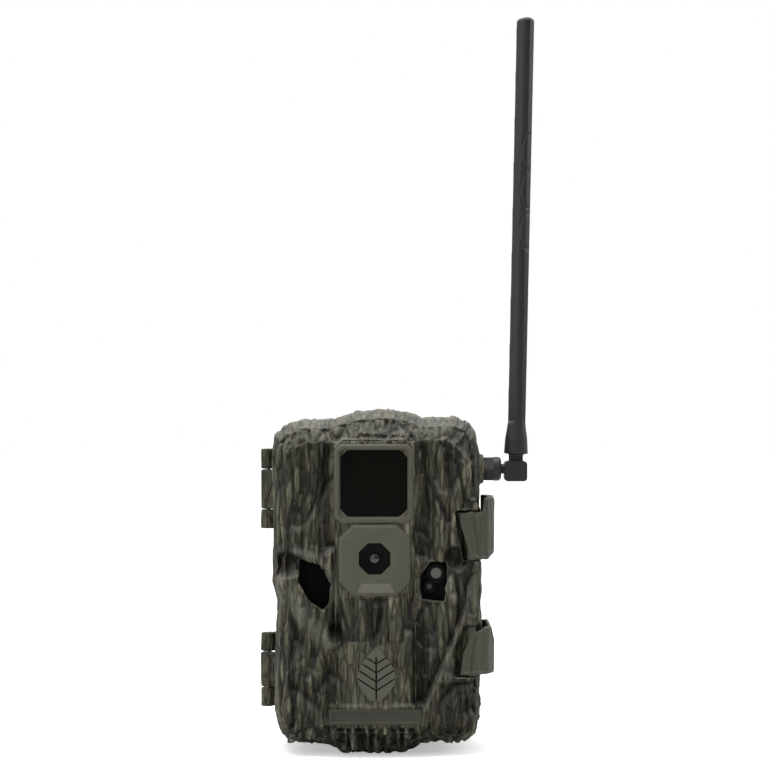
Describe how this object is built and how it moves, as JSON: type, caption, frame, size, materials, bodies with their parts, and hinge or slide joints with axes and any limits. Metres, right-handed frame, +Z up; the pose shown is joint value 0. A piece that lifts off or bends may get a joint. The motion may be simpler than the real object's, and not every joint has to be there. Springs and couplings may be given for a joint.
{
  "type": "trail camera",
  "caption": "Bark-camouflage trail camera: hinged battery case with latches, infrared window, lens, motion sensor and tilting cellular antenna.",
  "frame": {"origin": "centre of the mouth of the threaded socket in the flat bottom pad", "axes": "+Z up along the antenna's height; -Y out of the lens; +X to the right as seen from the front"},
  "size_m": [0.116, 0.0805, 0.309],
  "materials": {
    "bark_shell": "moulded bark relief with printed camouflage, low sheen",
    "latch_plastic": "fine moulded grain, low sheen",
    "olive_plastic": "smooth satin moulding",
    "bracket_plastic": "coarse moulded grain",
    "panel_plastic": "fine grain",
    "black_plastic": "smooth",
    "antenna_plastic": "satin moulded",
    "window_black": "polished infrared-pass window",
    "dark_film": "faceted film lens",
    "clear_glass": "coated glass",
    "led_lens": "clear epoxy",
    "seal_rubber": "soft seal",
    "key_rubber": "matte keypad rubber",
    "circuit_board": "solder mask",
    "cell_wrap": "shrink wrap with a metal end",
    "brass": "machined",
    "steel": "plated"
  },
  "bodies": {
    "rear_case": {"rear_housing": "bark_shell", "door_gasket": "seal_rubber", "battery_tray": "black_plastic", "tray_screws": "steel", "aa_cells": "cell_wrap", "battery_contacts": "steel", "contact_pads": "brass", "tripod_inserts": "brass", "strap_bracket": "bracket_plastic", "bracket_screws": "steel", "dc_jack": "black_plastic", "hinge_pins": "steel"},
    "door": {"front_housing": "bark_shell", "led_bezel": "olive_plastic", "led_window": "window_black", "led_board": "circuit_board", "ir_leds": "led_lens", "lens_bezel": "olive_plastic", "lens_window": "clear_glass", "lens_barrel": "black_plastic", "lens_elements": "clear_glass", "lens_holder": "black_plastic", "camera_board": "circuit_board", "image_sensor": "window_black", "pir_window": "dark_film", "pir_sensor": "steel", "sensor_insert": "black_plastic", "light_sensor": "led_lens", "status_light": "led_lens", "emblem_badge": "olive_plastic", "nameplate": "olive_plastic", "main_board": "circuit_board", "modem_module": "steel", "sd_slot": "steel", "sim_holder": "steel", "control_panel": "panel_plastic", "panel_screws": "steel", "lcd_module": "black_plastic", "lcd_window": "window_black", "dome_switches": "steel", "power_switch": "steel", "pogo_pins": "brass", "latch_pins": "steel", "sma_jack": "brass", "antenna_nut": "antenna_plastic"},
    "latch_upper": {"latch_upper": "latch_plastic"},
    "latch_lower": {"latch_lower": "latch_plastic"},
    "ir_filter": {"ir_filter_frame": "black_plastic", "ir_filter_glass": "clear_glass"},
    "button_ok": {"button_ok": "key_rubber"},
    "button_up": {"button_up": "key_rubber"},
    "button_down": {"button_down": "key_rubber"},
    "button_left": {"button_left": "key_rubber"},
    "button_right": {"button_right": "key_rubber"},
    "power_slider": {"power_slider": "key_rubber"},
    "sd_card": {"sd_card": "black_plastic"},
    "dc_plug": {"dc_plug": "seal_rubber"},
    "antenna_base": {"antenna_base": "antenna_plastic", "antenna_pin": "steel"},
    "antenna_whip": {"antenna_whip": "antenna_plastic"}
  },
  "joints": [
    {"name": "door_hinge", "type": "hinge", "parent": "rear_case", "child": "door", "pos_m": [-0.0456, -0.015, 0.072], "axis": [0, 0, -1], "range_deg": [0, 115]},
    {"name": "latch_upper_turn", "type": "hinge", "parent": "door", "child": "latch_upper", "pos_m": [0.0404, -0.0428, 0.0917], "axis": [0, 0, -1], "range_deg": [0, 95]},
    {"name": "latch_lower_turn", "type": "hinge", "parent": "door", "child": "latch_lower", "pos_m": [0.0404, -0.0428, 0.0437], "axis": [0, 0, -1], "range_deg": [0, 95]},
    {"name": "ir_filter_slide", "type": "slide", "parent": "door", "child": "ir_filter", "axis": [1, 0, 0], "range_m": [0, 0.0065]},
    {"name": "button_ok_press", "type": "slide", "parent": "door", "child": "button_ok", "axis": [0, -1, 0], "range_m": [0, 0.0008], "stiffness_N_per_m": 400},
    {"name": "button_up_press", "type": "slide", "parent": "door", "child": "button_up", "axis": [0, -1, 0], "range_m": [0, 0.0008], "stiffness_N_per_m": 400},
    {"name": "button_down_press", "type": "slide", "parent": "door", "child": "button_down", "axis": [0, -1, 0], "range_m": [0, 0.0008], "stiffness_N_per_m": 400},
    {"name": "button_left_press", "type": "slide", "parent": "door", "child": "button_left", "axis": [0, -1, 0], "range_m": [0, 0.0008], "stiffness_N_per_m": 400},
    {"name": "button_right_press", "type": "slide", "parent": "door", "child": "button_right", "axis": [0, -1, 0], "range_m": [0, 0.0008], "stiffness_N_per_m": 400},
    {"name": "power_slider_slide", "type": "slide", "parent": "door", "child": "power_slider", "axis": [1, 0, 0], "range_m": [0, 0.006]},
    {"name": "sd_card_slide", "type": "slide", "parent": "door", "child": "sd_card", "axis": [0, 0, -1], "range_m": [0, 0.024]},
    {"name": "dc_plug_slide", "type": "slide", "parent": "rear_case", "child": "dc_plug", "axis": [0, 0, -1], "range_m": [0, 0.008]},
    {"name": "antenna_swivel", "type": "hinge", "parent": "door", "child": "antenna_base", "pos_m": [0.0546, -0.029, 0.1189], "axis": [1, 0, 0], "continuous": true},
    {"name": "antenna_tilt", "type": "hinge", "parent": "antenna_base", "child": "antenna_whip", "pos_m": [0.0596, -0.029, 0.118], "axis": [0, 1, 0], "range_deg": [-1.3, 88.7]}
  ]
}
